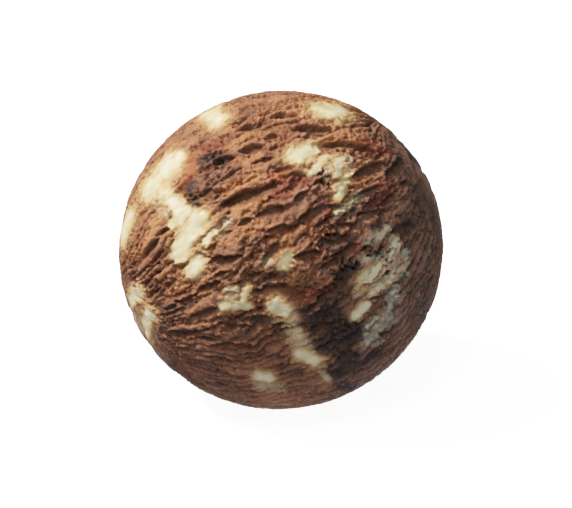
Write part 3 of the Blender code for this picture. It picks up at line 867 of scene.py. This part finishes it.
def gelato_colour(nodes):
    colour = chocolate_colour(nodes)
    tan = nodes.rise(frayed(nodes, "tan", 1.8, 0.9 * MM), -0.5, 0.8, 0.75)
    pink = nodes.rise(frayed(nodes, "pink", 1.4, 0.9 * MM), -0.6, 0.7, 0.65)
    cherry = nodes.rise(frayed(nodes, "cherry", 1.2, 0.9 * MM), -0.5, 0.7, 0.85)
    rust = nodes.rise(frayed(nodes, "rust", 1.4, 0.9 * MM), -0.5, 0.6, 0.8)
    dark = nodes.rise(frayed(nodes, "dark", 1.6, 0.9 * MM), -0.5, 0.7, 0.9)
    thin_cream = nodes.rise(frayed(nodes, "thin_cream", 1.9, 0.9 * MM), -0.3, 1.0, 0.72)
    wobble = nodes.math("SUBTRACT", nodes.noise(1.3 * MM, 2, 0.5), 0.5)
    cream = nodes.math("ADD", nodes.fact("cream"), nodes.math("MULTIPLY", wobble, 1.1))
    colour = nodes.mix(tan, colour, OCHRE)
    colour = nodes.mix(pink, colour, MAUVE)
    colour = nodes.mix(rust, colour, CHERRY_ORANGE)
    colour = nodes.mix(cherry, colour, CHERRY_RED)
    colour = nodes.mix(dark, colour, DARK_CHERRY_AND_PIT_SHADE)
    white = nodes.mix(nodes.rise(nodes.noise(2.4 * MM, 2, 0.5), 0.44, 0.62, 0.7), CREAM_WHITE, CREAM_YELLOW)
    # Painted shade: the cream greys towards the shaded right side, and its golden edge fades there
    white = nodes.mix(nodes.rise(nodes.fact("painted_shade_right"), 0.1, 0.9, 0.8), white, CREAM_PAINTED_SHADE_GREY)
    colour = nodes.mix(thin_cream, colour, white)
    edge = nodes.math("MULTIPLY", nodes.rise(cream, 0.7, -0.1, 0.8), nodes.rise(nodes.fact("painted_shade_right"), 0.9, 0.1))
    white = nodes.mix(edge, white, CREAM_GOLD)
    # Painted shade: the cream is painted darker in its hollows
    white = nodes.mix(nodes.rise(nodes.fact("height"), -0.2, -0.9, 0.8), white, CREAM_PAINTED_SHADE)
    # Painted light: the crests are painted paler, except on the dark and red streaks
    painted_crest_light = nodes.rise(nodes.fact("height"), -0.55, -0.05, 0.28)
    stained = nodes.math("MAXIMUM", nodes.math("MAXIMUM", rust, cherry), dark)
    painted_crest_light = nodes.math("MULTIPLY", painted_crest_light, nodes.math("SUBTRACT", 1.0, stained))
    # Painted shade: every hollow is darkened the deeper it lies
    painted_hollow_shade = nodes.rise(nodes.fact("height"), -0.35, -1.6)
    colour = nodes.mix(painted_crest_light, colour, CREST_PAINTED_LIGHT)
    colour = nodes.mix(painted_hollow_shade, colour, HOLLOW_PAINTED_SHADE_TINT, "MULTIPLY")
    # Painted shade: the furrows are painted dark, the deeper ones darker
    colour = nodes.mix(nodes.rise(nodes.fact("furrow"), 0.2, 1.1, 0.58), colour, FURROW_PAINTED_SHADE)
    halo = nodes.math("MULTIPLY", nodes.rise(cream, -1.5, 0.1, 0.7), nodes.math("SUBTRACT", 1.0, stained))
    colour = nodes.mix(halo, colour, CARAMEL)
    colour = nodes.mix(nodes.rise(cream, -0.75, 0.85), colour, white)
    # Painted shade: the pits are painted nearly black
    return nodes.mix(nodes.rise(nodes.fact("pit"), 0.2, 0.8, 0.85), colour, DARK_CHERRY_AND_PIT_SHADE)


def gelato_material():
    material = bpy.data.materials.new("gelato")
    nodes = Nodes(material)
    nodes.put(gelato_colour(nodes), nodes.shader.inputs["Base Color"])
    wet = nodes.rise(nodes.noise(1.4 * MM, 2), 0.38, 0.62, WET_SMOOTHNESS)
    nodes.put(nodes.math("SUBTRACT", ROUGHNESS, wet), nodes.shader.inputs["Roughness"])
    nodes.shader.inputs["Specular IOR Level"].default_value = SPECULAR_LEVEL
    nodes.shader.inputs["Subsurface Weight"].default_value = SUBSURFACE_SHARE
    nodes.shader.inputs["Subsurface Radius"].default_value = SUBSURFACE_REACH
    nodes.shader.inputs["Subsurface Scale"].default_value = SUBSURFACE_SCALE
    bump = nodes.add("ShaderNodeBump")
    bump.inputs["Strength"].default_value = 1.0
    bump.inputs["Distance"].default_value = BUMP_HEIGHT
    crumbs = nodes.math("ADD", nodes.noise(0.5 * MM, 4, 0.7), nodes.noise(0.6 * MM, 3, 0.65, True))
    crumbs = nodes.math("SUBTRACT", crumbs, nodes.math("MULTIPLY", nodes.grains(0.9 * MM), 0.8))
    calm = nodes.rise(nodes.fact("cream"), 0.5, -0.4)
    share = nodes.math("ADD", 0.05, nodes.math("MULTIPLY", calm, 1.1))
    nodes.put(nodes.math("MULTIPLY", crumbs, share), bump.inputs["Height"])
    nodes.put(bump.outputs["Normal"], nodes.shader.inputs["Normal"])
    return material


def add_floor():
    floor = bmesh.new()
    bmesh.ops.create_grid(floor, x_segments=1, y_segments=1, size=FLOOR_SIZE / 2)
    mesh = bpy.data.meshes.new("floor")
    floor.to_mesh(mesh)
    floor.free()
    material = bpy.data.materials.new("white_table")
    nodes = Nodes(material)
    nodes.shader.inputs["Base Color"].default_value = (*TABLE_WHITE, 1)
    nodes.shader.inputs["Roughness"].default_value = 0.8
    nodes.shader.inputs["Emission Color"].default_value = (1, 1, 1, 1)
    nodes.shader.inputs["Emission Strength"].default_value = FLOOR_GLOW
    mesh.materials.append(material)
    table = bpy.data.objects.new("white_table", mesh)
    bpy.context.collection.objects.link(table)
    table.visible_diffuse = False
    table.visible_glossy = False


def add_light(name, towards, distance, size, power, colour):
    """A round soft light that shines on the ball from this direction in the seen axes."""
    lamp = bpy.data.lights.new(name, "AREA")
    lamp.shape = "DISK"
    lamp.size = size
    lamp.energy = power
    lamp.color = colour
    light = bpy.data.objects.new(name, lamp)
    bpy.context.collection.objects.link(light)
    aim = Vector(np.array(towards) @ SEEN_AXES).normalized()
    light.location = Vector((0, 0, MIDDLE_HEIGHT)) + aim * distance
    light.rotation_euler = aim.to_track_quat("Z", "Y").to_euler()


def add_room():
    """Even light all round, stronger from below as a white table throws it back."""
    world = bpy.data.worlds.new("room")
    bpy.context.scene.world = world
    world.use_nodes = True
    tree = world.node_tree
    background = tree.nodes["Background"]
    background.inputs["Color"].default_value = (*ROOM_COLOUR, 1)
    heading = tree.nodes.new("ShaderNodeTexCoord").outputs["Generated"]
    split = tree.nodes.new("ShaderNodeSeparateXYZ")
    tree.links.new(heading, split.inputs[0])
    strength = tree.nodes.new("ShaderNodeMapRange")
    strength.inputs["From Min"].default_value = 0.1
    strength.inputs["From Max"].default_value = -0.5
    strength.inputs["To Min"].default_value = ROOM_STRENGTH
    strength.inputs["To Max"].default_value = BOUNCE_STRENGTH
    tree.links.new(split.outputs["Z"], strength.inputs["Value"])
    tree.links.new(strength.outputs["Result"], background.inputs["Strength"])


def add_camera():
    """A camera that shows the ball where the photo has it, at the photo's angle."""
    lens = bpy.data.cameras.new("camera")
    lens.sensor_fit = "HORIZONTAL"
    lens.sensor_width = SENSOR_WIDTH
    lens.lens = SENSOR_WIDTH * CAMERA_DISTANCE * PIXELS_PER_METRE / IMAGE_WIDTH
    camera = bpy.data.objects.new("camera", lens)
    bpy.context.collection.objects.link(camera)
    right = (IMAGE_MIDDLE[0] - BALL_PIXEL[0]) / PIXELS_PER_METRE
    down = (IMAGE_MIDDLE[1] - BALL_PIXEL[1]) / PIXELS_PER_METRE
    aim = Vector((0, 0, MIDDLE_HEIGHT)) + Vector(SEEN_RIGHT) * right - Vector(SEEN_UP) * down
    camera.location = aim + Vector(SEEN_TOWARDS) * CAMERA_DISTANCE
    camera.rotation_euler = Vector(SEEN_TOWARDS).to_track_quat("Z", "Y").to_euler()
    bpy.context.scene.camera = camera


def set_tones():
    """A photographic tone curve that keeps the cream from burning out."""
    view = bpy.context.scene.view_settings
    view.view_transform = "Standard"
    view.use_curve_mapping = True
    view.curve_mapping.white_level = (BRIGHTEST, BRIGHTEST, BRIGHTEST)
    curve = view.curve_mapping.curves[3]
    for light, shown in TONE_CURVE:
        curve.points.new(light / BRIGHTEST, shown)
    curve.points[-1].location = (1, 1)
    view.curve_mapping.update()


scoop = make_scoop()
scoop.data.materials.append(gelato_material())
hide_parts("gelato_scoop")
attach(scoop, "root")
add_floor()
add_light("key", KEY_DIRECTION, KEY_DISTANCE, KEY_SIZE, KEY_POWER, KEY_COLOUR)
add_light("front", FRONT_DIRECTION, FRONT_DISTANCE, FRONT_SIZE, FRONT_POWER, FRONT_COLOUR)
add_room()
add_camera()
set_tones()
